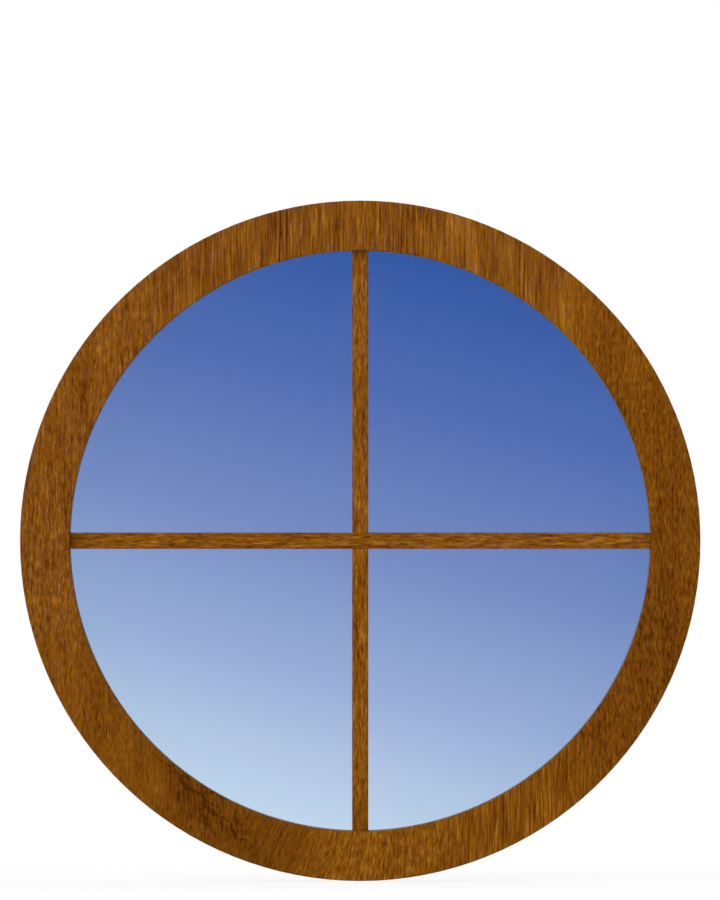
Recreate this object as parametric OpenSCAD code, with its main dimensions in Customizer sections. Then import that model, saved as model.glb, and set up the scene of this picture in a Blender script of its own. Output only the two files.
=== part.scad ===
// Round fixed window with a woodgrain frame: a welded plastic frame ring, a double-glazed
// sealed unit held by clip-in beads, and a cross of glazing bars on both faces of the glass.
// X runs to the right and Z up as seen from outside, and Y from the outside face into the room.
// The origin is the centre of the window, half way through the depth of the frame.

/* [Window] */
// Overall diameter of the frame
window_d = 800; // [600:10:1200]
// Depth of the frame, outside face to room face
frame_depth = 70; // [64:1:90]
// Width of the frame's face, as seen from outside
face_w = 58.5; // [52:0.5:80]

/* [Frame profile] */
// Height of the outside leg above the rebate floor
leg_h = 20; // [18:0.5:25]
// Thickness of the outside leg, front to back
leg_t = 17; // [15:0.5:20]
// Thickness of the outer walls
wall_t = 2.8; // [2.2:0.1:3.2]
// Thickness of the inner webs
web_t = 1.8; // [1.2:0.1:2.4]
// Radius on the visible edges
edge_r = 1.5; // [0.5:0.1:2.5]
// Chamfer in the corners of the chambers
chamber_cut = 1; // [0.5:0.1:1.4]
// How far the drainage chamber reaches behind the outside leg
drain_shelf = 7; // [6:0.5:10]
// Depth of the rear chamber with its walls, from the room face
rear_col_t = 19; // [17:0.5:22]
// Width of the channel for fixing lugs round the rim
lug_channel_w = 18; // [12:0.5:20]
// Depth of the lug channel
lug_channel_h = 3; // [2.5:0.1:4]
// Reach of the lips that hold a lug in its channel
lug_lip_w = 2; // [1:0.1:3]
// Thickness of the lug channel's lips
lug_lip_t = 1.2; // [0.8:0.1:1.6]

/* [Drainage] */
// Length of a drain slot round the ring
drain_l = 25; // [15:1:40]
// Width of a drain slot
drain_w = 5; // [4:0.5:6]
// Gap between the outside leg and the slots in the rebate floor
drain_setback = 0.4; // [0.2:0.1:0.8]
// Angle of the slots in the rebate floor, each side of the bottom
drain_in_angle = 10; // [6:1:14]
// Angle of the slots in the rim, each side of the bottom
drain_out_angle = 18; // [12:1:24]

/* [Sealed unit] */
// Thickness of each glass pane
pane_t = 4; // [3:0.5:6]
// Width of the cavity between the panes
cavity_t = 20; // [14:1:24]
// Gap between the sealed unit and the rebate floor
edge_gap = 5; // [4:0.5:6]
// Depth of the sealant round the edge of the unit
edge_seal_w = 4; // [3:0.5:5]
// Height of the spacer bar's section
spacer_h = 6.5; // [5.5:0.1:7]
// Wall of the spacer bar
spacer_wall = 0.5; // [0.3:0.05:0.8]
// Chamfer on the outer corners of the spacer bar
spacer_chamfer = 1.5; // [1:0.1:2]
// Thickness of the butyl seal between spacer and pane
butyl_t = 0.3; // [0.2:0.05:0.5]
// Gap where the two ends of the spacer bar meet
spacer_joint = 0.3; // [0.2:0.1:1]
// Length of the key that joins the spacer's ends
key_l = 40; // [20:1:60]

/* [Gaskets and beads] */
// Thickness of a gasket between plastic and glass
gasket_t = 3; // [2.5:0.1:4]
// Height of a gasket's body
gasket_h = 9; // [8:0.5:11]
// How far a gasket's lip shows past the frame
gasket_lip = 0.6; // [0.3:0.1:1.2]
// Distance of a gasket's stem below the sightline
stem_drop = 4.5; // [3.5:0.5:6]
// Width of a gasket's stem
stem_w = 1.6; // [1.2:0.1:2]
// Width of the barb on a gasket's stem
barb_w = 2.8; // [2.4:0.1:3.2]
// Length of a gasket's stem before the barb
stem_l = 1; // [0.8:0.1:1.4]
// Length of the barb
barb_l = 1.5; // [1.2:0.1:1.8]
// Thickness of the bead at the sightline
bead_top_t = 3; // [2.5:0.1:4]
// Height of the bead's upright room face
bead_nose_h = 6; // [5:0.5:8]
// Wall of the hollow bead
bead_wall = 1.6; // [1.2:0.1:2]
// Gap between the two half-ring beads where they meet
bead_joint = 0.3; // [0.2:0.1:1]
// How far the bead groove sits in front of the middle of the bead
groove_shift = 0.5; // [0:0.1:1]
// Width of the bead groove
groove_w = 5; // [4.5:0.1:6]
// Depth of the bead groove
groove_h = 6; // [5:0.5:7]
// Reach of the lip that holds the bead's foot
groove_lip_w = 1.2; // [0.8:0.1:1.6]
// Thickness of that lip
groove_lip_t = 1.6; // [1.2:0.1:2]

/* [Glazing bars] */
// Width of a glazing bar
bar_w = 19; // [16:0.5:25]
// Height of a glazing bar off its tape
bar_h = 8.5; // [7:0.5:10]
// Radius on the bar's edges
bar_edge_r = 1.5; // [0.5:0.1:2.5]
// Wall of the hollow bar
bar_wall = 1.8; // [1.2:0.1:2.5]
// Gap between a bar's end and the frame, bead or gasket that it meets
bar_end_gap = 0.3; // [0.2:0.1:1]
// Thickness of the bonding tape
tape_t = 1; // [0.5:0.1:1.5]
// How far the tape stays back from each edge of its bar
tape_inset = 2; // [1:0.5:4]
// Width of the spacer grid's bars inside the cavity
grid_w = 15; // [12:0.5:15.5]
// Gap between the spacer grid and each pane
grid_gap = 1; // [0.5:0.1:2]
// Wall of the spacer grid's bars
grid_wall = 0.8; // [0.6:0.1:1.2]
// Length of the spigots inside the spacer grid's bars
spigot_l = 12; // [8:1:20]
// Thickness of the plate that closes the end of a grid bar
plug_plate_t = 1.5; // [1:0.1:2.5]
// Width of an end plug's neck
plug_neck_w = 4; // [3:0.5:8]
// Length of an end plug's neck, from its plate to the spacer bar
plug_neck_l = 7; // [5:0.5:9]

/* [Packers] */
// Length of a packer round the ring
packer_l = 60; // [40:1:80]
// Width of the drain grooves under a packer
packer_groove_w = 6; // [4:0.5:8]
// Depth of the drain grooves under a packer
packer_groove_h = 2; // [1.5:0.1:2.5]

/* [Fits] */
// Clearance between pieces that clip or slide together
fit_gap = 0.15; // [0.1:0.01:0.25]

/* [Hidden] */
$fn = 180;
rim_r = window_d / 2;
sight_r = rim_r - face_w;

// Heights are measured in from the rim, towards the centre of the window.
floor_h = face_w - leg_h;
unit_h = floor_h + edge_gap;
spacer_out_h = unit_h + edge_seal_w;
spacer_in_h = spacer_out_h + spacer_h;
stem_at_h = face_w - stem_drop;

// Depths are measured back from the outside face.
front_pane_d = leg_t + gasket_t;
cavity_d = front_pane_d + pane_t;
rear_pane_d = cavity_d + cavity_t;
unit_back_d = rear_pane_d + pane_t;
bead_d = unit_back_d + gasket_t;
drain_web_d = leg_t + drain_shelf;
rear_web_d = frame_depth - rear_col_t;
groove_d = (bead_d + frame_depth - groove_w) / 2 - groove_shift;
stem_reach = stem_l + barb_l;

// The bead's sloping face runs from its top edge down to its nose.
slope_run = frame_depth - bead_d - bead_top_t;
slope_rise = leg_h - bead_nose_h;
slope_shift = bead_wall * norm([slope_run, slope_rise]) / slope_rise;

// Glazing bars reach over the gasket lips to the frame and the beads.
bar_end_r = sight_r - bar_end_gap;
lip_end_r = bar_end_r - gasket_lip;
tape_end_r = lip_end_r - tape_inset;
tape_w = bar_w - 2 * tape_inset;
outside_base_d = front_pane_d - tape_t;
inside_base_d = unit_back_d + tape_t;
grid_t = cavity_t - 2 * grid_gap;
grid_mid_d = cavity_d + cavity_t / 2;
spacer_in_r = rim_r - spacer_in_h;
grid_end_r = spacer_in_r - plug_neck_l - plug_plate_t;
spigot_w = grid_w - 2 * grid_wall - 2 * fit_gap;
spigot_t = grid_t - 2 * grid_wall - 2 * fit_gap;

// Angles, clockwise from the top as seen from outside.
spacer_joint_clock = 45;
key_sweep = key_l / (spacer_in_r + spacer_h / 2) * 180 / PI;
packer_sweep = packer_l / (rim_r - floor_h) * 180 / PI;
packer_count = 6;
packer_step = 360 / packer_count;

foil = "#82501a";
glass_tint = [0.45, 0.58, 0.82, 0.45];
rubber = "#9a9794";
alloy = "#b9bcc0";

// Turns a section, drawn as height in from the rim by depth from outside, round the window's axis.
module revolve(clock = 0, sweep = 360) {
    translate([0, -frame_depth / 2, 0])
        rotate([-90, 0, 0])
            rotate([0, 0, clock - 90])
                rotate_extrude(angle = sweep)
                    translate([rim_r, 0])
                        mirror([1, 0])
                            children();
}

// A rectangle between two corners, each a height and a depth.
module panel(low, high) {
    translate(low)
        square(high - low);
}

// The same rectangle with round corners.
module round_panel(low, high, r) {
    panel(low + [r, 0], high - [r, 0]);
    panel(low + [0, r], high - [0, r]);
    for (h = [low[0] + r, high[0] - r], d = [low[1] + r, high[1] - r])
        translate([h, d])
            circle(r);
}

// The same rectangle with its corners cut at 45 degrees.
module cut_panel(low, high, cut) {
    polygon([
        low + [cut, 0], [high[0] - cut, low[1]], [high[0], low[1] + cut], high - [0, cut],
        high - [cut, 0], [low[0] + cut, high[1]], [low[0], high[1] - cut], low + [0, cut]
    ]);
}

// A disc between two depths.
module disc(r, low_d, high_d) {
    translate([0, low_d - frame_depth / 2, 0])
        rotate([-90, 0, 0])
            cylinder(r = r, h = high_d - low_d);
}

// The pocket for a gasket's stem, or the stem itself when the fit is negative.
module stem_section(fit) {
    half_stem = stem_w / 2 + fit;
    half_barb = barb_w / 2 + fit;
    panel([-half_stem, 0], [half_stem, stem_l + barb_l + fit]);
    panel([-half_barb, stem_l - fit], [half_barb, stem_l + barb_l + fit]);
}

module frame_chambers() {
    main_top_h = floor_h - wall_t;
    rear_top_h = floor_h - groove_h - web_t;
    lug_floor_h = lug_channel_h + wall_t;
    leg_back_d = leg_t - stem_reach - fit_gap - web_t;
    cut_panel([wall_t, wall_t], [main_top_h, drain_web_d], chamber_cut);
    cut_panel([main_top_h + web_t, wall_t], [face_w - wall_t, leg_back_d], chamber_cut);
    cut_panel([lug_floor_h, drain_web_d + web_t], [main_top_h, rear_web_d], chamber_cut);
    cut_panel([wall_t, rear_web_d + web_t], [rear_top_h, frame_depth - wall_t], chamber_cut);
}

module lug_channel() {
    mid_d = (drain_web_d + web_t + rear_web_d) / 2;
    reach = lug_channel_w / 2;
    mouth = reach - lug_lip_w;
    panel([lug_lip_t, mid_d - reach], [lug_channel_h, mid_d + reach]);
    panel([-lug_lip_t, mid_d - mouth], [lug_channel_h, mid_d + mouth]);
}

module bead_groove() {
    panel([floor_h - groove_h, groove_d], [floor_h - groove_lip_t, groove_d + groove_w]);
    panel([floor_h - groove_h, groove_d], [floor_h + groove_lip_t, groove_d + groove_w - groove_lip_w]);
}

module frame_section() {
    difference() {
        union() {
            round_panel([0, 0], [floor_h, frame_depth], edge_r);
            round_panel([0, 0], [face_w, leg_t], edge_r);
        }
        frame_chambers();
        lug_channel();
        bead_groove();
        translate([stem_at_h, leg_t])
            mirror([0, 1])
                stem_section(fit_gap);
    }
}

// A slot with round ends that runs along the ring, cut through the wall that starts at a height.
module drain_slot(angle, wall_h, mid_d) {
    half_run = (drain_l - drain_w) / 2;
    overcut = wall_t / 2;
    reach = wall_t + 2 * overcut;
    rotate([0, angle, 0])
        translate([0, mid_d - frame_depth / 2, wall_h - overcut - rim_r]) {
            translate([-half_run, -drain_w / 2, 0])
                cube([2 * half_run, drain_w, reach]);
            for (side = [-1, 1])
                translate([side * half_run, 0, 0])
                    cylinder(d = drain_w, h = reach);
        }
}

module frame_ring() {
    color(foil)
        difference() {
            revolve()
                frame_section();
            for (side = [-1, 1]) {
                drain_slot(side * drain_in_angle, floor_h - wall_t, leg_t + drain_setback + drain_w / 2);
                drain_slot(side * drain_out_angle, 0, (wall_t + drain_web_d) / 2);
            }
        }
}

// A gasket body with a rounded lip, and the stem that locks it into its groove.
module gasket_section() {
    nose_r = gasket_t / 2;
    panel([face_w - gasket_h, 0], [face_w + gasket_lip - nose_r, gasket_t]);
    translate([face_w + gasket_lip - nose_r, nose_r])
        circle(nose_r);
    translate([stem_at_h, 0])
        mirror([0, 1])
            stem_section(-fit_gap);
}

module outer_gasket() {
    color(rubber)
        revolve()
            translate([0, leg_t])
                gasket_section();
}

module inner_gasket() {
    color(rubber)
        revolve()
            translate([0, bead_d])
                mirror([0, 1])
                    gasket_section();
}

module bead_outline() {
    foot_h = floor_h + fit_gap;
    polygon([
        [foot_h, bead_d], [face_w, bead_d], [face_w, bead_d + bead_top_t],
        [floor_h + bead_nose_h, frame_depth], [foot_h, frame_depth]
    ]);
    stem_d = groove_d + fit_gap;
    panel([floor_h - groove_h + fit_gap, stem_d],
        [foot_h + bead_wall, groove_d + groove_w - groove_lip_w - fit_gap]);
    panel([floor_h - groove_h + fit_gap, stem_d],
        [floor_h - groove_lip_t - fit_gap, groove_d + groove_w - fit_gap]);
}

// The bead's hollow follows its sloping face one wall inside it.
module bead_hollow() {
    low_h = floor_h + fit_gap + bead_wall;
    top_h = stem_at_h - barb_w / 2 - fit_gap - bead_wall;
    front_d = bead_d + bead_wall;
    back_d = frame_depth - bead_wall;
    slope_d = function(h) bead_d + bead_top_t + (face_w - h) * slope_run / slope_rise - slope_shift;
    knee_h = face_w - (back_d - bead_d - bead_top_t + slope_shift) * slope_rise / slope_run;
    polygon([
        [low_h, front_d], [top_h, front_d], [top_h, slope_d(top_h)], [knee_h, back_d], [low_h, back_d]
    ]);
}

module bead_section() {
    difference() {
        bead_outline();
        bead_hollow();
        translate([stem_at_h, bead_d])
            stem_section(fit_gap);
    }
}

// A half-ring bead, centred on a clock angle, short of its neighbour by half the joint at each end.
module half_bead(clock) {
    joint_sweep = bead_joint / sight_r * 180 / PI;
    color(foil)
        revolve(clock - 90 + joint_sweep / 2, 180 - joint_sweep)
            bead_section();
}

module bead_upper() half_bead(0);
module bead_lower() half_bead(180);

module outer_pane() {
    color(glass_tint)
        disc(rim_r - unit_h, front_pane_d, cavity_d);
}

module inner_pane() {
    color(glass_tint)
        disc(rim_r - unit_h, rear_pane_d, unit_back_d);
}

// The spacer's outline, moved inwards by an inset.
module spacer_outline(inset) {
    low_d = cavity_d + butyl_t + inset;
    high_d = rear_pane_d - butyl_t - inset;
    low_h = spacer_out_h + inset;
    cut = spacer_chamfer - inset * (2 - sqrt(2));
    polygon([
        [low_h, low_d + cut], [low_h + cut, low_d], [spacer_in_h - inset, low_d],
        [spacer_in_h - inset, high_d], [low_h + cut, high_d], [low_h, high_d - cut]
    ]);
}

module spacer_bar() {
    joint_sweep = spacer_joint / spacer_in_r * 180 / PI;
    color(alloy)
        revolve(spacer_joint_clock + joint_sweep / 2, 360 - joint_sweep)
            difference() {
                spacer_outline(0);
                spacer_outline(spacer_wall);
            }
}

module spacer_key() {
    color("silver")
        revolve(spacer_joint_clock - key_sweep / 2, key_sweep)
            spacer_outline(spacer_wall + fit_gap);
}

module desiccant_fill() {
    clear_sweep = fit_gap / spacer_in_r * 180 / PI;
    color("tan")
        revolve(spacer_joint_clock + key_sweep / 2 + clear_sweep, 360 - key_sweep - 2 * clear_sweep)
            spacer_outline(spacer_wall + fit_gap);
}

module butyl_seal(low_d) {
    color("black")
        revolve()
            panel([spacer_out_h + spacer_chamfer, low_d], [spacer_in_h, low_d + butyl_t]);
}

module outer_butyl_seal() butyl_seal(cavity_d);
module inner_butyl_seal() butyl_seal(rear_pane_d - butyl_t);

// Sealant fills the channel between the panes, round the back and chamfers of the spacer.
module edge_sealant() {
    color("dimgray")
        revolve()
            difference() {
                panel([unit_h, cavity_d], [spacer_out_h + spacer_chamfer, rear_pane_d]);
                spacer_outline(0);
            }
}

// A rectangular bar along X between two distances from the centre, centred on a depth.
module x_bar(from_x, to_x, width, thick, mid_d) {
    translate([from_x, mid_d - frame_depth / 2 - thick / 2, -width / 2])
        cube([to_x - from_x, thick, width]);
}

// Turns a piece that points right, at clock 90, to another clock angle.
module at_clock(clock) {
    rotate([0, clock - 90, 0])
        children();
}

module grid_bar(clock) {
    color(alloy)
        at_clock(clock)
            difference() {
                x_bar(grid_w / 2, grid_end_r, grid_w, grid_t, grid_mid_d);
                x_bar(0, rim_r, grid_w - 2 * grid_wall, grid_t - 2 * grid_wall, grid_mid_d);
            }
}

module grid_bar_upper() grid_bar(0);
module grid_bar_right() grid_bar(90);
module grid_bar_lower() grid_bar(180);
module grid_bar_left() grid_bar(270);

module grid_cross() {
    spigot_end = grid_w / 2 + spigot_l;
    color("gainsboro") {
        x_bar(-grid_w / 2, grid_w / 2, grid_w, grid_t, grid_mid_d);
        for (clock = [0, 90])
            at_clock(clock)
                x_bar(-spigot_end, spigot_end, spigot_w, spigot_t, grid_mid_d);
    }
}

// An end plug: a spigot in the bar, a plate over its end, and a neck that seats on the curved spacer.
module grid_plug(clock) {
    plate_end_r = grid_end_r + plug_plate_t;
    color("whitesmoke")
        at_clock(clock) {
            intersection() {
                x_bar(plate_end_r, rim_r, plug_neck_w, spigot_t, grid_mid_d);
                disc(spacer_in_r, cavity_d, rear_pane_d);
            }
            x_bar(grid_end_r, plate_end_r, grid_w, grid_t, grid_mid_d);
            x_bar(grid_end_r - spigot_l, grid_end_r, spigot_w, spigot_t, grid_mid_d);
        }
}

module grid_plug_upper() grid_plug(0);
module grid_plug_right() grid_plug(90);
module grid_plug_lower() grid_plug(180);
module grid_plug_left() grid_plug(270);

// A glazing bar's section: width by height off the tape, round at its two visible edges.
module bar_section() {
    half_w = bar_w / 2;
    half_hollow = half_w - bar_wall;
    difference() {
        union() {
            round_panel([-half_w, 0], [half_w, bar_h], bar_edge_r);
            panel([-half_w, 0], [half_w, bar_edge_r]);
        }
        panel([-half_hollow, bar_wall], [half_hollow, bar_h - bar_wall]);
    }
}

// A strip along X whose section stands off a depth, outwards or inwards.
module x_strip(from_x, to_x, base_d, outwards) {
    translate([from_x, base_d - frame_depth / 2, 0])
        mirror([0, outwards ? 1 : 0, 0])
            rotate([90, 0, 90])
                linear_extrude(to_x - from_x)
                    rotate(90)
                        mirror([0, 1])
                            children();
}

// Where bars end: at the frame in front, at the beads behind, and short of the gasket lips between them.
module bar_limit() {
    disc(lip_end_r, 0, frame_depth);
    disc(bar_end_r, 0, leg_t - bar_end_gap);
    disc(bar_end_r, bead_d + bar_end_gap, frame_depth);
}

module cross_bar(base_d, outwards) {
    color(foil)
        intersection() {
            x_strip(-rim_r, rim_r, base_d, outwards)
                bar_section();
            bar_limit();
        }
}

module half_bar(clock, base_d, outwards) {
    color(foil)
        intersection() {
            at_clock(clock)
                x_strip(bar_w / 2, rim_r, base_d, outwards)
                    bar_section();
            bar_limit();
        }
}

module tape_section() panel([-tape_w / 2, 0], [tape_w / 2, tape_t]);

module cross_tape(base_d, outwards) {
    color("white")
        intersection() {
            x_strip(-rim_r, rim_r, base_d, outwards)
                tape_section();
            disc(tape_end_r, 0, frame_depth);
        }
}

module half_tape(clock, base_d, outwards) {
    color("white")
        intersection() {
            at_clock(clock)
                x_strip(bar_w / 2 + tape_inset, rim_r, base_d, outwards)
                    tape_section();
            disc(tape_end_r, 0, frame_depth);
        }
}

module outside_bar_cross() cross_bar(outside_base_d, true);
module outside_bar_upper() half_bar(0, outside_base_d, true);
module outside_bar_lower() half_bar(180, outside_base_d, true);
module inside_bar_cross() cross_bar(inside_base_d, false);
module inside_bar_upper() half_bar(0, inside_base_d, false);
module inside_bar_lower() half_bar(180, inside_base_d, false);
module outside_tape_cross() cross_tape(front_pane_d, true);
module outside_tape_upper() half_tape(0, front_pane_d, true);
module outside_tape_lower() half_tape(180, front_pane_d, true);
module inside_tape_cross() cross_tape(unit_back_d, false);
module inside_tape_upper() half_tape(0, unit_back_d, false);
module inside_tape_lower() half_tape(180, unit_back_d, false);

// A packer fills the gap between the sealed unit and the rebate floor, over two drain grooves.
// Packers are numbered clockwise, and the first sits half a step past the top.
module packer(number) {
    third = (unit_back_d - front_pane_d) / 3;
    color("steelblue")
        revolve((number + 0.5) * packer_step - packer_sweep / 2, packer_sweep)
            difference() {
                panel([floor_h + fit_gap, front_pane_d], [unit_h - fit_gap, unit_back_d]);
                for (groove = [1, 2])
                    translate([floor_h, front_pane_d + groove * third])
                        panel([0, -packer_groove_w / 2], [packer_groove_h, packer_groove_w / 2]);
            }
}

module packer_top_right() packer(0);
module packer_right() packer(1);
module packer_bottom_right() packer(2);
module packer_bottom_left() packer(3);
module packer_left() packer(4);
module packer_top_left() packer(5);

frame_ring();
outer_gasket();
inner_gasket();
bead_upper();
bead_lower();
outer_pane();
inner_pane();
spacer_bar();
spacer_key();
desiccant_fill();
outer_butyl_seal();
inner_butyl_seal();
edge_sealant();
grid_cross();
grid_bar_upper();
grid_bar_right();
grid_bar_lower();
grid_bar_left();
grid_plug_upper();
grid_plug_right();
grid_plug_lower();
grid_plug_left();
outside_bar_cross();
outside_bar_upper();
outside_bar_lower();
inside_bar_cross();
inside_bar_upper();
inside_bar_lower();
outside_tape_cross();
outside_tape_upper();
outside_tape_lower();
inside_tape_cross();
inside_tape_upper();
inside_tape_lower();
packer_top_right();
packer_right();
packer_bottom_right();
packer_bottom_left();
packer_left();
packer_top_left();
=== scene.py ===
"""The looks of a round fixed window: oak woodgrain foil, glass with a painted reflection of a blue sky,
gaskets, bars and beads.
"""
import math
from collections import namedtuple

import bpy
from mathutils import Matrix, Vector


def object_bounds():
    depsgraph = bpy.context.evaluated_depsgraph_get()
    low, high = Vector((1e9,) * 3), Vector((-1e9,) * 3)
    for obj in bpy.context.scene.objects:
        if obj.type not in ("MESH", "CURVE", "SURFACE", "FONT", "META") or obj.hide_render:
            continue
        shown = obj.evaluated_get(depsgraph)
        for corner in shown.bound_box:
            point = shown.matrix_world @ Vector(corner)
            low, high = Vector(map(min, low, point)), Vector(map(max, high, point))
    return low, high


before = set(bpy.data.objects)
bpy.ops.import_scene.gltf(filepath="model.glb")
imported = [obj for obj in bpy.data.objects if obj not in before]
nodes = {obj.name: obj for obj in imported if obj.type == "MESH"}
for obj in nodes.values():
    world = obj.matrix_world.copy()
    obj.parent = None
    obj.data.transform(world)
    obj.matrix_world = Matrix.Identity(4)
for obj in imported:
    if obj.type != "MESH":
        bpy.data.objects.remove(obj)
cad_low, cad_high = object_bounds()

# Sizes of the window that the finishes follow, in metres
FACE_W = 0.0585
RIM_R = cad_high.x
SIGHT_R = RIM_R - FACE_W
FRONT_Y = cad_low.y
ROOM_Y = cad_high.y


# Tools for the finishes

def srgb(red, green, blue):
    """A colour written as the photograph's 0 to 255 values, in linear light."""
    def linear(part):
        share = part / 255
        return share / 12.92 if share <= 0.04045 else ((share + 0.055) / 1.055) ** 2.4
    return (linear(red), linear(green), linear(blue), 1.0)


def wire(tree, socket, value):
    """Links a socket, or sets its plain value."""
    if isinstance(value, bpy.types.NodeSocket):
        tree.links.new(value, socket)
    else:
        socket.default_value = value


def add(tree, kind, inputs=None, **settings):
    """A shader node with its settings, and its inputs linked or set."""
    node = tree.nodes.new(kind)
    for name, value in settings.items():
        setattr(node, name, value)
    for key, value in (inputs or {}).items():
        wire(tree, node.inputs[key], value)
    return node


def calc(tree, operation, first, second=0.0):
    """One step of arithmetic."""
    return add(tree, "ShaderNodeMath", {0: first, 1: second}, operation=operation).outputs[0]


def chain(tree, operation, terms):
    """The same step of arithmetic through several values."""
    result = terms[0]
    for term in terms[1:]:
        result = calc(tree, operation, result, term)
    return result


def total(tree, *terms):
    """The sum of several values."""
    return chain(tree, "ADD", terms)


def product(tree, *terms):
    """Several values multiplied together."""
    return chain(tree, "MULTIPLY", terms)


def most(tree, *terms):
    """The largest of several values."""
    return chain(tree, "MAXIMUM", terms)


def less(tree, first, second):
    """The first value less the second."""
    return calc(tree, "SUBTRACT", first, second)


def squared(tree, value):
    """A value times itself."""
    return calc(tree, "POWER", value, 2.0)


def fade(tree, value, start, end, low=0.0, high=1.0):
    """Goes smoothly from low at start to high at end."""
    inputs = {"Value": value, "From Min": start, "From Max": end, "To Min": low, "To Max": high}
    node = add(tree, "ShaderNodeMapRange", inputs, interpolation_type="SMOOTHSTEP", clamp=True)
    return node.outputs["Result"]


def ramp(tree, value, stops):
    """A colour ramp from (place, colour) stops."""
    node = add(tree, "ShaderNodeValToRGB", {"Fac": value})
    band = node.color_ramp.elements
    while len(band) < len(stops):
        band.new(1.0)
    for element, (place, colour) in zip(band, stops):
        element.position = place
        element.color = colour
    return node.outputs["Color"]


def mottle(tree, value, dark, light):
    """A colour between a dark and a light one, by a noise value."""
    return ramp(tree, value, [(0.3, dark), (0.7, light)])


def blend(tree, share, under, over):
    """Mixes two colours by a share."""
    return add(tree, "ShaderNodeMix", {0: share, 6: under, 7: over}, data_type="RGBA").outputs[2]


def place_of(tree):
    """The point on the piece, in metres in the window's own frame."""
    return add(tree, "ShaderNodeTexCoord").outputs["Object"]


def axes(tree, place):
    """The place's X, Y and Z."""
    return add(tree, "ShaderNodeSeparateXYZ", {"Vector": place}).outputs


def mapped(tree, place, scale=(1, 1, 1), shift=(0, 0, 0), turn=(0, 0, 0)):
    """The place scaled, turned and shifted."""
    inputs = {"Vector": place, "Location": shift, "Rotation": turn, "Scale": scale}
    return add(tree, "ShaderNodeMapping", inputs, vector_type="POINT").outputs["Vector"]


def pushed(tree, place, *pushes):
    """The place pushed along X."""
    x, y, z = axes(tree, place)
    return add(tree, "ShaderNodeCombineXYZ", {0: total(tree, x, *pushes), 1: y, 2: z}).outputs[0]


def length_of(tree, place):
    """Distance from the place's origin."""
    return add(tree, "ShaderNodeVectorMath", {0: place}, operation="LENGTH").outputs["Value"]


def radius_of(tree, place):
    """Distance from the window's axis."""
    return length_of(tree, mapped(tree, place, (1, 0, 1)))


def noise(tree, place, scale=1.0, detail=2.0, roughness=0.5):
    """Smooth random values about a middle of 0.5."""
    inputs = {"Vector": place, "Scale": scale, "Detail": detail, "Roughness": roughness}
    return add(tree, "ShaderNodeTexNoise", inputs, noise_dimensions="3D").outputs["Fac"]


def finish(name, **sockets):
    """A material with one shader, and the sockets that are the same all over set on it."""
    material = bpy.data.materials.new(name)
    material.use_nodes = True
    shader = material.node_tree.nodes["Principled BSDF"]
    for key, value in sockets.items():
        shader.inputs[key.replace("_", " ")].default_value = value
    return material, material.node_tree, shader


def emboss(tree, shader, height, depth):
    """Raises the surface by a height value of 0 to 1, over a depth in metres."""
    bump = add(tree, "ShaderNodeBump", {"Height": height, "Distance": depth, "Strength": 1.0})
    wire(tree, shader.inputs["Normal"], bump.outputs["Normal"])


# The oak foil on the ring, the bars and the beads

# Grain marks: how many fit a metre across and along the grain, their pattern's start, detail and strength
Marks = namedtuple("Marks", "across along start detail strength", defaults=(1.0, 1.0))
PORES = Marks(1050, 75, 47.3)
FIBRES = Marks(1700, 55, 83.7, 2.0, 0.55)
GREY_STREAKS = Marks(300, 75, 61.1)

# The noise values between which a mark begins and is full
PORE_EDGE = (0.12, 0.19)
GREY_EDGE = (-0.12, 0.18)

# Colours by tone, which goes from 0 for the darkest grain to 1 for the palest
OAK_STOPS = [
    (0.00, srgb(72, 34, 0)),
    (0.15, srgb(93, 48, 0)),
    (0.32, srgb(109, 60, 1)),
    (0.50, srgb(122, 71, 3)),
    (0.68, srgb(134, 80, 6)),
    (0.85, srgb(149, 92, 11)),
    (1.00, srgb(168, 108, 20)),
]
GREY_STOPS = [
    (0.00, srgb(72, 37, 18)),
    (0.50, srgb(120, 72, 36)),
    (1.00, srgb(158, 103, 57)),
]
PORE_TONE = -0.26
PORE_DEPTH = 0.0001
FOIL_SHEEN = 0.03
DARK_ROUGHNESS = 0.56
PALE_ROUGHNESS = 0.46


def streaks(tree, place, marks):
    """Grain marks about a middle of 0."""
    scale = (marks.across, marks.across, marks.along)
    shift = (marks.start, marks.start * 0.7, marks.start * 1.3)
    pattern = noise(tree, mapped(tree, place, scale, shift), detail=marks.detail, roughness=0.6)
    return product(tree, less(tree, pattern, 0.5), marks.strength)


def oak_colour(tree, grain, tone, greyness):
    """Golden brown by tone, with short greyer streaks through it."""
    grey_share = product(tree, fade(tree, streaks(tree, grain, GREY_STREAKS), *GREY_EDGE), greyness)
    return blend(tree, grey_share, ramp(tree, tone, OAK_STOPS), ramp(tree, tone, GREY_STOPS))


def lay_oak(tree, shader, grain, tone, greyness):
    """Colours the shader as oak with fine fibres, presses the pores into it, and gives the colour back."""
    pores = fade(tree, streaks(tree, grain, PORES), *PORE_EDGE)
    tone = total(tree, tone, streaks(tree, grain, FIBRES), product(tree, pores, PORE_TONE))
    colour = oak_colour(tree, grain, tone, greyness)
    wire(tree, shader.inputs["Base Color"], colour)
    wire(tree, shader.inputs["Roughness"], fade(tree, tone, 0.2, 0.8, DARK_ROUGHNESS, PALE_ROUGHNESS))
    emboss(tree, shader, less(tree, 1.0, pores), PORE_DEPTH)
    return colour


# The bars and the beads

BAR_TONE = 0.56
BAR_LONG_MARKS = Marks(480, 36, 3.1, 2.0, 1.4)
BAR_SHORT_MARKS = Marks(480, 90, 11.7, 2.0, 1.2)
BAR_SHADES = Marks(60, 5, 23.5, strength=0.4)
BAR_WAVER = Marks(60, 40, 5.3, strength=0.004)
BAR_DASHES = Marks(560, 85, 37.9)
DASH_EDGE = (0.05, 0.12)
DASH_TONE = -0.3

# The foil changes from its left to its right look over this distance either side of the middle
BAR_CHANGE = 0.1

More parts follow.
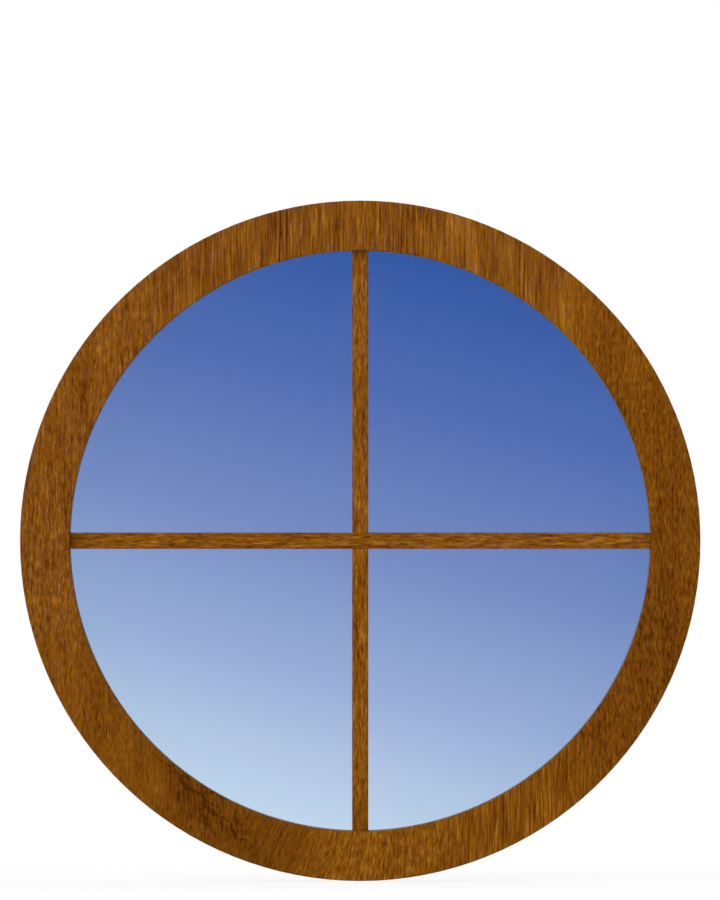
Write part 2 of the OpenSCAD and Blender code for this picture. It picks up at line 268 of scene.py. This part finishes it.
# Each bar's grain turned about Y in degrees and shifted along Z, and its lift and greyness at left and right
BAR_FOILS = {
    "cross": (90, 0.0, (0.07, 0.125), (0.2, 0.55)),
    "upper": (0, 0.2, (0.1, 0.1), (0.55, 0.55)),
    "lower": (0, 0.7, (0.125, 0.125), (0.2, 0.2)),
}
BAR_SHIFTS = {"outside": 0.53, "inside": 0.89}
BEAD_SHIFT = (0.31, 0.0, 0.17)


def oak_foil(name, shift, turn=0, lift=(0.0, 0.0), greyness=(0.3, 0.3)):
    """Oak foil with upright grain, or grain along X when turned, that may differ at left and right."""
    material, tree, shader = finish(name, Specular_IOR_Level=FOIL_SHEEN)
    place = place_of(tree)
    x = axes(tree, place)["X"]
    grain = mapped(tree, place, shift=shift, turn=(0, math.radians(turn), 0))
    grain = pushed(tree, grain, streaks(tree, grain, BAR_WAVER))
    dashes = fade(tree, streaks(tree, grain, BAR_DASHES), *DASH_EDGE)
    tone = total(
        tree, BAR_TONE,
        fade(tree, x, -BAR_CHANGE, BAR_CHANGE, *lift),
        streaks(tree, grain, BAR_LONG_MARKS),
        streaks(tree, grain, BAR_SHORT_MARKS),
        streaks(tree, grain, BAR_SHADES),
        product(tree, dashes, DASH_TONE),
    )
    lay_oak(tree, shader, grain, tone, fade(tree, x, -BAR_CHANGE, BAR_CHANGE, *greyness))
    return material


# The ring

# Its tone and marks, and its thin dark lines, which show only where the marks run long
RING_TONE = 0.54
RING_LONG_MARKS = Marks(380, 20, 3.1, 2.0, 2.3)
RING_SHORT_MARKS = Marks(380, 95, 11.7, 2.0, 2.0)
RING_SHADES = Marks(60, 4, 23.5, strength=0.45)
RING_WANDER = Marks(7, 4, 5.3, strength=0.012)
RING_LINES = Marks(330, 7, 91.3)
LINE_EDGE = (0.1, 0.19)
LINE_LONG_PART = (0.75, 0.95)
LINE_TONE = -0.24

# Where a look of the ring's foil begins and is full, along X or Z
RIGHT_X = (0.21, 0.30)
LEFT_X = (-0.18, -0.28)
LEFT_Z = (0.05, -0.15)
BOTTOM_X = (0.16, 0.07)
BOTTOM_Z = (-0.28, -0.32)
LOW_Z = (-0.2, -0.3)

# The share of short marks on each side of the ring, and at the left from higher up to lower down
RIGHT_SHORT = 0.95
LEFT_SHORT = (0.6, 0.85)
BOTTOM_SHORT = 0.85
LEAST_SHORT = 0.08

# At the right, low down and in the flame's hollow: how much lighter the foil is, how much fainter its marks
RIGHT_LIFT = -0.13
RIGHT_CALM = 0.2
LOW_LIFT = 0.08
HOLLOW_LIFT = -0.21
HOLLOW_CALM = 0.42

# Round patches of the foil: the middle in X and Z, the radius, and again how much lighter and fainter
FOIL_PATCHES = [
    ((0.19, 0.32), 0.14, 0.09, 0.25),
    ((0.33, -0.19), 0.16, -0.06, 0.0),
    ((-0.33, -0.19), 0.14, -0.05, 0.3),
    ((-0.32, 0.18), 0.16, -0.03, 0.14),
    ((-0.18, 0.32), 0.12, 0.0, 0.14),
    ((0.00, -0.37), 0.12, 0.06, 0.0),
    ((0.28, 0.24), 0.09, 0.11, 0.1),
    ((-0.26, -0.265), 0.06, 0.16, 0.0),
    ((-0.215, -0.295), 0.04, -0.07, 0.0),
    ((-0.15, 0.335), 0.035, 0.1, 0.0),
]

# The way to the upper left in X and Z, how far along it the greyness grows, and its values there
UPPER_LEFT_WAY = (-0.6, 0.8)
GREY_FADE = (0.04, 0.13)
RING_GREYNESS = (0.2, 0.6)

# The grain's lean at the bottom: where it begins and is full on three sides, its slope, and its foot
LEAN_RIGHT_X = (0.05, -0.08)
LEAN_LEFT_X = (-0.17, -0.08)
LEAN_TOP_Z = (-0.25, -0.31)
LEAN_SLOPE = -0.45
LEAN_FOOT_Z = -0.37

# The flame figure's middle in X and Z, the half length and half width of its parts, and how much they darken
FLAME_MID = (-0.182, -0.308)
HOLLOW_SIZE = (0.17, 0.17)
VEIN_SIZE = (0.1, 0.05)
VEIN_DARK = 0.36
LINES_SIZE = (0.085, 0.03)
LINES_DARK = 0.22
BAND_SIZE = (0.12, 0.024)
BAND_DARK = 0.09

# The vein's distances from its middle where it begins and is full, its swing in metres, and its jitter
VEIN_EDGE = (0.0032, 0.0006)
VEIN_SWING = 0.0035
VEIN_RADIANS_PER_M = 150
VEIN_JITTER = 0.018

# The wavy lines: how many to a metre, and in shares of their spacing how far they sway and how wide they are
LINES_PER_M = 56
LINES_SWAY = 3.2
LINES_EDGE = (0.2, 0.02)

# The dashes that break up the vein and the lines, and what is left of these between two dashes
FLAME_DASHES = Marks(600, 60, 71.9)
FLAME_DASH_EDGE = (-0.14, 0.1)
FLAME_DASH_LEAST = 0.45

# The bare profile round the rim, from a little way out from the sight line and between the foil's two edges
BARE_R = SIGHT_R + 0.0038
FOIL_EDGE_Y = ROOM_Y - 0.004
EDGE_SOFT = 0.0002
DIE_LINES = 1400


def leaning(tree, place):
    """The ring's grain: upright, wandering a little, and leaning at the bottom."""
    x, _, z = axes(tree, place)
    between = product(tree, fade(tree, x, *LEAN_RIGHT_X), fade(tree, x, *LEAN_LEFT_X))
    slope = product(tree, between, fade(tree, z, *LEAN_TOP_Z), LEAN_SLOPE)
    lean = product(tree, slope, less(tree, z, LEAN_FOOT_Z))
    return pushed(tree, place, streaks(tree, place, RING_WANDER), lean)


def reach(tree, along, across, length, width):
    """1 in the middle of an oval and 0 outside it."""
    far_along = squared(tree, calc(tree, "DIVIDE", along, length))
    far_across = squared(tree, calc(tree, "DIVIDE", across, width))
    return fade(tree, total(tree, far_along, far_across), 1.0, 0.25)


def foil_patches(tree, x, z):
    """Where the ring's foil is a little lighter or darker, and where its marks are fainter."""
    lifts = []
    calms = []
    for (mid_x, mid_z), radius, lift, calm in FOIL_PATCHES:
        share = reach(tree, less(tree, x, mid_x), less(tree, z, mid_z), radius, radius)
        lifts.append(product(tree, share, lift))
        calms.append(product(tree, share, calm))
    return total(tree, *lifts), total(tree, *calms)


def flame_axes(tree, x, z):
    """Distances from the middle of the flame figure, along it to the lower right and across it."""
    from_mid_x = less(tree, x, FLAME_MID[0])
    from_mid_z = less(tree, z, FLAME_MID[1])
    along = product(tree, less(tree, from_mid_x, from_mid_z), math.sqrt(0.5))
    across = product(tree, total(tree, from_mid_x, from_mid_z), math.sqrt(0.5))
    return along, across


def flame_lines(tree, place, across):
    """Soft dark wavy lines, as where the saw cuts across the growth rings."""
    sway = product(tree, noise(tree, place, scale=30, detail=3.0), LINES_SWAY)
    turns = calc(tree, "FRACT", total(tree, product(tree, across, LINES_PER_M), sway))
    return fade(tree, calc(tree, "ABSOLUTE", less(tree, turns, 0.5)), *LINES_EDGE)


def main_vein(tree, place, along, across):
    """The dark line down the middle of the flame figure."""
    swing = product(tree, calc(tree, "SINE", product(tree, along, VEIN_RADIANS_PER_M)), VEIN_SWING)
    shake = less(tree, noise(tree, place, scale=60, detail=3.0, roughness=0.6), 0.5)
    jitter = product(tree, shake, VEIN_JITTER)
    return fade(tree, calc(tree, "ABSOLUTE", total(tree, across, swing, jitter)), *VEIN_EDGE)


def flame_figure(tree, place, grain, along, across):
    """How much the flame figure darkens the oak: a vein and wavy lines in dashes, in a darker band."""
    dashes = fade(tree, streaks(tree, grain, FLAME_DASHES), *FLAME_DASH_EDGE, FLAME_DASH_LEAST, 1.0)
    vein = product(
        tree, reach(tree, along, across, *VEIN_SIZE), main_vein(tree, place, along, across), VEIN_DARK)
    lines = product(
        tree, reach(tree, along, across, *LINES_SIZE), flame_lines(tree, place, across), LINES_DARK)
    band = product(tree, reach(tree, along, across, *BAND_SIZE), BAND_DARK)
    return total(tree, product(tree, most(tree, vein, lines), dashes), band)


def share_of_short_marks(tree, x, z, right):
    """Nearly all at the right, fewer at the left and the bottom, and hardly any elsewhere."""
    left = product(tree, fade(tree, x, *LEFT_X), fade(tree, z, *LEFT_Z, *LEFT_SHORT))
    bottom = product(tree, fade(tree, z, *BOTTOM_Z), fade(tree, x, *BOTTOM_X), BOTTOM_SHORT)
    return most(tree, product(tree, right, RIGHT_SHORT), left, bottom, LEAST_SHORT)


def ring_marks(tree, grain, short_share, calm):
    """Long and short grain marks, fainter where the foil is calm, and thin dark lines in the long ones."""
    long_part = calc(tree, "SQRT", less(tree, 1.0, short_share))
    short_part = calc(tree, "SQRT", short_share)
    marks = total(
        tree,
        product(tree, streaks(tree, grain, RING_LONG_MARKS), long_part),
        product(tree, streaks(tree, grain, RING_SHORT_MARKS), short_part),
    )
    lines = fade(tree, streaks(tree, grain, RING_LINES), *LINE_EDGE)
    return total(
        tree,
        product(tree, marks, less(tree, 1.0, calm)),
        product(tree, lines, fade(tree, long_part, *LINE_LONG_PART), LINE_TONE),
    )


def ring_tone(tree, place, grain):
    """How light the ring's foil is, with its marks, its patches and the flame figure at the lower left."""
    x, _, z = axes(tree, place)
    right = fade(tree, x, *RIGHT_X)
    along, across = flame_axes(tree, x, z)
    hollow = reach(tree, along, across, *HOLLOW_SIZE)
    lift, calm = foil_patches(tree, x, z)
    calm = most(tree, calm, product(tree, right, RIGHT_CALM), product(tree, hollow, HOLLOW_CALM))
    return total(
        tree, RING_TONE, lift,
        ring_marks(tree, grain, share_of_short_marks(tree, x, z, right), calm),
        streaks(tree, grain, RING_SHADES),
        fade(tree, z, *LOW_Z, 0.0, LOW_LIFT),
        product(tree, right, RIGHT_LIFT),
        product(tree, hollow, HOLLOW_LIFT),
        product(tree, flame_figure(tree, place, grain, along, across), -1.0),
    )


def ring_greyness(tree, place):
    """The foil is greyer towards the upper left."""
    x, _, z = axes(tree, place)
    distance = total(tree, product(tree, x, UPPER_LEFT_WAY[0]), product(tree, z, UPPER_LEFT_WAY[1]))
    return fade(tree, distance, *GREY_FADE, *RING_GREYNESS)


def bare_profile(tree, place):
    """The plastic that the foil leaves bare round the rim: its share, and its brown with die lines."""
    from_middle = calc(tree, "ABSOLUTE", axes(tree, place)["Y"])
    share = product(
        tree,
        fade(tree, radius_of(tree, place), BARE_R - EDGE_SOFT, BARE_R + EDGE_SOFT),
        fade(tree, from_middle, FOIL_EDGE_Y + EDGE_SOFT, FOIL_EDGE_Y - EDGE_SOFT),
    )
    lines = noise(tree, mapped(tree, place, (0, DIE_LINES, 0)), detail=3.0, roughness=0.7)
    return share, mottle(tree, lines, srgb(88, 54, 24), srgb(106, 67, 31))


def ring_foil():
    """The frame's foil, with the bare profile round the rim."""
    material, tree, shader = finish("oak_foil_ring", Specular_IOR_Level=FOIL_SHEEN)
    place = place_of(tree)
    grain = leaning(tree, place)
    foil = lay_oak(tree, shader, grain, ring_tone(tree, place, grain), ring_greyness(tree, place))
    bare_share, bare_colour = bare_profile(tree, place)
    wire(tree, shader.inputs["Base Color"], blend(tree, bare_share, foil, bare_colour))
    return material


# The glass

GLASS_IOR = 1.45

# The colours of the sky's reflection painted into the outer pane, from the lower left to the upper right, and
# how far that way leans from upright
SKY_REFLECTION_STOPS = [
    (0.00, srgb(199, 217, 240)),
    (0.25, srgb(153, 175, 217)),
    (0.50, srgb(111, 135, 195)),
    (0.75, srgb(68, 103, 179)),
    (1.00, srgb(0, 76, 165)),
]
SKY_REFLECTION_TILT = math.radians(14.5)

# The clear pane's colour in the middle and at the sight line, and how far out it starts to change
CLEAR_STOPS = [
    (0.0, srgb(251, 253, 253)),
    (1.0, srgb(246, 252, 250)),
]
CLEAR_R = 0.8 * SIGHT_R


def pane_finish(name):
    """Smooth glass that lets the light through."""
    return finish(name, Roughness=0.0, IOR=GLASS_IOR, Transmission_Weight=1.0)


def painted_sky_reflection_glass():
    """Glass with a painted reflection of the sky in its colour, pale at the lower left and deep blue at the
    upper right.
    """
    material, tree, shader = pane_finish("painted_sky_reflection_glass")
    x, _, z = axes(tree, place_of(tree))
    climb = total(tree, product(tree, z, math.cos(SKY_REFLECTION_TILT)), product(tree, x, math.sin(SKY_REFLECTION_TILT)))
    share = total(tree, product(tree, climb, 0.5 / SIGHT_R), 0.5)
    wire(tree, shader.inputs["Base Color"], ramp(tree, share, SKY_REFLECTION_STOPS))
    return material


def clear_glass():
    """Clear glass, a little greener towards its edge."""
    material, tree, shader = pane_finish("clear_glass")
    edge = fade(tree, radius_of(tree, place_of(tree)), CLEAR_R, SIGHT_R)
    wire(tree, shader.inputs["Base Color"], ramp(tree, edge, CLEAR_STOPS))
    return material


# The spacer, the grid, the seals and the packers

# The spacer bar's inner radius, the middle of the cavity, and two rows of small holes in the bar's inner
# wall, whose dark insides are painted as shade
SPACER_R = SIGHT_R + 0.0045
CAVITY_MID_Y = -0.001
HOLES_TO_R = SPACER_R + 0.0003
HOLES_TO_SOFT = 0.0001
HOLE_R = 0.0004
HOLE_STEP = 0.003
HOLE_ROW = 0.0025
# The shade inside each hole, painted as near black
HOLE_SHADE_BLACK = srgb(24, 24, 26)
ROLLING_MARKS = (60, 2500, 60)
ROLLING_DEPTH = 0.00002

MOULDING_SHEEN = 0.3

# Each moulding's dark and light colour, its roughness, its marks to a metre, and their depth in metres
MOULDINGS = {
    "gasket_rubber": (srgb(126, 123, 120), srgb(138, 135, 132), 0.6, 900, 0.00003),
    "key_plastic": (srgb(150, 150, 150), srgb(165, 165, 165), 0.5, 600, 0.00003),
    "desiccant": (srgb(150, 130, 100), srgb(205, 185, 150), 0.9, 700, 0.0003),
    "butyl": (srgb(16, 16, 16), srgb(26, 26, 26), 0.5, 500, 0.00003),
    "edge_sealant": (srgb(52, 53, 55), srgb(64, 65, 67), 0.6, 300, 0.0001),
    "grid_alloy": (srgb(186, 188, 192), srgb(202, 204, 208), 0.4, 500, 0.00002),
    "grid_plastic": (srgb(190, 190, 188), srgb(206, 206, 204), 0.55, 500, 0.00003),
    "bonding_tape": (srgb(214, 214, 210), srgb(228, 228, 224), 0.8, 800, 0.0001),
    "packer_plastic": (srgb(38, 84, 150), srgb(46, 94, 162), 0.45, 400, 0.00003),
}


def plain_moulding(name):
    """A moulded or extruded finish: a fine mottle between two colours, with a slight texture."""
    dark, light, roughness, marks_per_m, depth = MOULDINGS[name]
    material, tree, shader = finish(name, Roughness=roughness, Specular_IOR_Level=MOULDING_SHEEN)
    marks = noise(tree, place_of(tree), scale=marks_per_m, detail=3.0, roughness=0.6)
    wire(tree, shader.inputs["Base Color"], mottle(tree, marks, dark, light))
    emboss(tree, shader, marks, depth)
    return material


def spacer_shaded_holes(tree, place):
    """Two rows of small holes on the cavity side, 1 in a hole and 0 elsewhere; the mask for both the holes'
    painted shade and their dents.
    """
    x, y, z = axes(tree, place)
    arc = product(tree, calc(tree, "ARCTAN2", x, z), SPACER_R)
    steps = calc(tree, "FRACT", product(tree, arc, 1 / HOLE_STEP))
    off_along = product(tree, less(tree, steps, 0.5), HOLE_STEP)
    off_across = less(tree, calc(tree, "ABSOLUTE", less(tree, y, CAVITY_MID_Y)), HOLE_ROW)
    off = calc(tree, "SQRT", total(tree, squared(tree, off_along), squared(tree, off_across)))
    inner_wall = fade(tree, radius_of(tree, place), HOLES_TO_R + HOLES_TO_SOFT, HOLES_TO_R - HOLES_TO_SOFT)
    return product(tree, fade(tree, off, HOLE_R * 1.2, HOLE_R * 0.8), inner_wall)


def spacer_alloy():
    """Mill finish with rolling marks round the bar, and small holes on the cavity side, their dark insides
    painted as near-black shade.
    """
    material, tree, shader = finish("spacer_alloy", Metallic=0.6)
    place = place_of(tree)
    marks = noise(tree, mapped(tree, place, ROLLING_MARKS))
    shaded_holes = spacer_shaded_holes(tree, place)
    metal = mottle(tree, marks, srgb(168, 170, 174), srgb(190, 192, 196))
    # Painted shade: the holes are coloured near black
    wire(tree, shader.inputs["Base Color"], blend(tree, shaded_holes, metal, HOLE_SHADE_BLACK))
    wire(tree, shader.inputs["Roughness"], fade(tree, marks, 0.3, 0.7, 0.34, 0.46))
    emboss(tree, shader, less(tree, marks, shaded_holes), ROLLING_DEPTH)
    return material


def milky_plastic():
    """Clear moulded plastic, a little cloudy."""
    material, tree, shader = finish("milky_plastic", Roughness=0.25, IOR=1.1, Transmission_Weight=1.0)
    cloud = noise(tree, place_of(tree), scale=260)
    milk = mottle(tree, cloud, srgb(232, 236, 238), srgb(246, 248, 249))
    wire(tree, shader.inputs["Base Color"], milk)
    return material


# The finishes put on the pieces

def put(material, *names):
    """Gives the named nodes a finish."""
    for name in names:
        piece = nodes[name]
        piece.data.materials.clear()
        piece.data.materials.append(material)


def named(part):
    """The nodes with these words in their names."""
    return [name for name in nodes if part in name]


def dress_frame():
    """The ring, the bars and the beads in oak foil, and the gaskets, packers and bonding tapes."""
    put(ring_foil(), "frame_ring")
    put(oak_foil("oak_foil_beads", BEAD_SHIFT), "bead_upper", "bead_lower")
    for side, shift in BAR_SHIFTS.items():
        for bar, (turn, rise, lift, greyness) in BAR_FOILS.items():
            foil = oak_foil(f"oak_foil_{side}_{bar}", (shift, 0, rise), turn, lift, greyness)
            put(foil, f"{side}_bar_{bar}")
    put(plain_moulding("gasket_rubber"), "outer_gasket", "inner_gasket")
    put(plain_moulding("packer_plastic"), *named("packer_"))
    put(plain_moulding("bonding_tape"), *named("_tape_"))


def dress_sealed_unit():
    """The panes, and the spacer, seals and grid between them."""
    # The outer pane carries a painted reflection of the sky in its colour
    put(painted_sky_reflection_glass(), "outer_pane")
    put(clear_glass(), "inner_pane")
    put(spacer_alloy(), "spacer_bar")
    put(plain_moulding("key_plastic"), "spacer_key")
    put(plain_moulding("desiccant"), "desiccant_fill")
    put(plain_moulding("butyl"), "outer_butyl_seal", "inner_butyl_seal")
    put(plain_moulding("edge_sealant"), "edge_sealant")
    put(plain_moulding("grid_alloy"), *named("grid_bar_"))
    put(plain_moulding("grid_plastic"), "grid_cross")
    put(milky_plastic(), *named("grid_plug_"))


# The room round it

WHITE = (1.0, 1.0, 1.0, 1.0)
FLOOR_COLOUR = (0.9, 0.9, 0.9, 1.0)
FLOOR_SIZE = 120

# The light that falls on things from every side, as a share of white
AMBIENT = 0.62

# The floor's own white near the window, and the distances between which it becomes full
FLOOR_GLOW = 0.86
GLOW_FADE = (0.6, 2.5)

# Where the two lamps hang, and the size in metres and the power in watts that both have
KEY_LAMP = (-2.2, -3.2, 2.4)
ROOM_LAMP = (2.0, 3.2, 2.4)
LAMP_SIZE = 2.5
LAMP_POWER = 95


def seen_directly(tree):
    """1 for what the camera, a mirror or clear glass shows, 0 for light that falls on things."""
    rays = add(tree, "ShaderNodeLightPath").outputs
    return most(tree, rays["Is Camera Ray"], rays["Is Glossy Ray"], rays["Is Transmission Ray"])


def white_world():
    """White all round, with a plain level of light from every side."""
    world = bpy.data.worlds.new("white_room")
    world.use_nodes = True
    tree = world.node_tree
    light = tree.nodes["Background"]
    light.inputs["Color"].default_value = WHITE
    strength = total(tree, product(tree, seen_directly(tree), 1.0 - AMBIENT), AMBIENT)
    wire(tree, light.inputs["Strength"], strength)
    bpy.context.scene.world = world


def pale_floor():
    """A white floor under the rim that keeps a faint shadow."""
    bpy.ops.mesh.primitive_plane_add(size=FLOOR_SIZE, location=(0, 0, cad_low.z))
    floor = bpy.context.object
    floor.name = "floor"
    material, tree, shader = finish(
        "floor_white", Base_Color=FLOOR_COLOUR, Roughness=0.9, Specular_IOR_Level=0.0)
    glow = add(tree, "ShaderNodeEmission", {"Color": WHITE, "Strength": 1.0})
    level = fade(tree, length_of(tree, place_of(tree)), *GLOW_FADE, FLOOR_GLOW, 1.0)
    share = product(tree, seen_directly(tree), level)
    mix = add(tree, "ShaderNodeMixShader", {0: share, 1: shader.outputs[0], 2: glow.outputs[0]})
    wire(tree, tree.nodes["Material Output"].inputs["Surface"], mix.outputs[0])
    floor.data.materials.append(material)


def soft_lamp(name, place):
    """A square lamp aimed at the window's centre, which the camera doesn't see."""
    data = bpy.data.lights.new(name, "AREA")
    data.size = LAMP_SIZE
    data.energy = LAMP_POWER
    lamp = bpy.data.objects.new(name, data)
    bpy.context.scene.collection.objects.link(lamp)
    lamp.location = place
    lamp.rotation_mode = "QUATERNION"
    lamp.rotation_quaternion = (-Vector(place)).to_track_quat("-Z", "Y")
    lamp.visible_camera = False
    lamp.visible_transmission = False


# The photograph's frame and where the window lies in it, in pixels
IMAGE_W = 720
IMAGE_H = 900
WINDOW_MID_PX = (360.2, 540.8)
RIM_R_PX = 340.3

# The camera stands far off, in metres, so that the window shows hardly any perspective
CAMERA_GAP = 30.0
SENSOR_MM = 36.0


def photo_camera():
    """Looks straight at the outside face, with the window where the photograph has it."""
    px_per_m = RIM_R_PX / RIM_R
    data = bpy.data.cameras.new("camera")
    data.sensor_width = SENSOR_MM
    data.lens = SENSOR_MM * CAMERA_GAP * px_per_m / IMAGE_H
    camera = bpy.data.objects.new("camera", data)
    bpy.context.scene.collection.objects.link(camera)
    across = (IMAGE_W / 2 - WINDOW_MID_PX[0]) / px_per_m
    up = (WINDOW_MID_PX[1] - IMAGE_H / 2) / px_per_m
    camera.location = (across, FRONT_Y - CAMERA_GAP, up)
    camera.rotation_euler = (math.radians(90), 0, 0)
    bpy.context.scene.camera = camera


dress_frame()
dress_sealed_unit()
white_world()
pale_floor()
soft_lamp("key_lamp", KEY_LAMP)
soft_lamp("room_lamp", ROOM_LAMP)
photo_camera()
bpy.context.scene.view_settings.view_transform = "Standard"
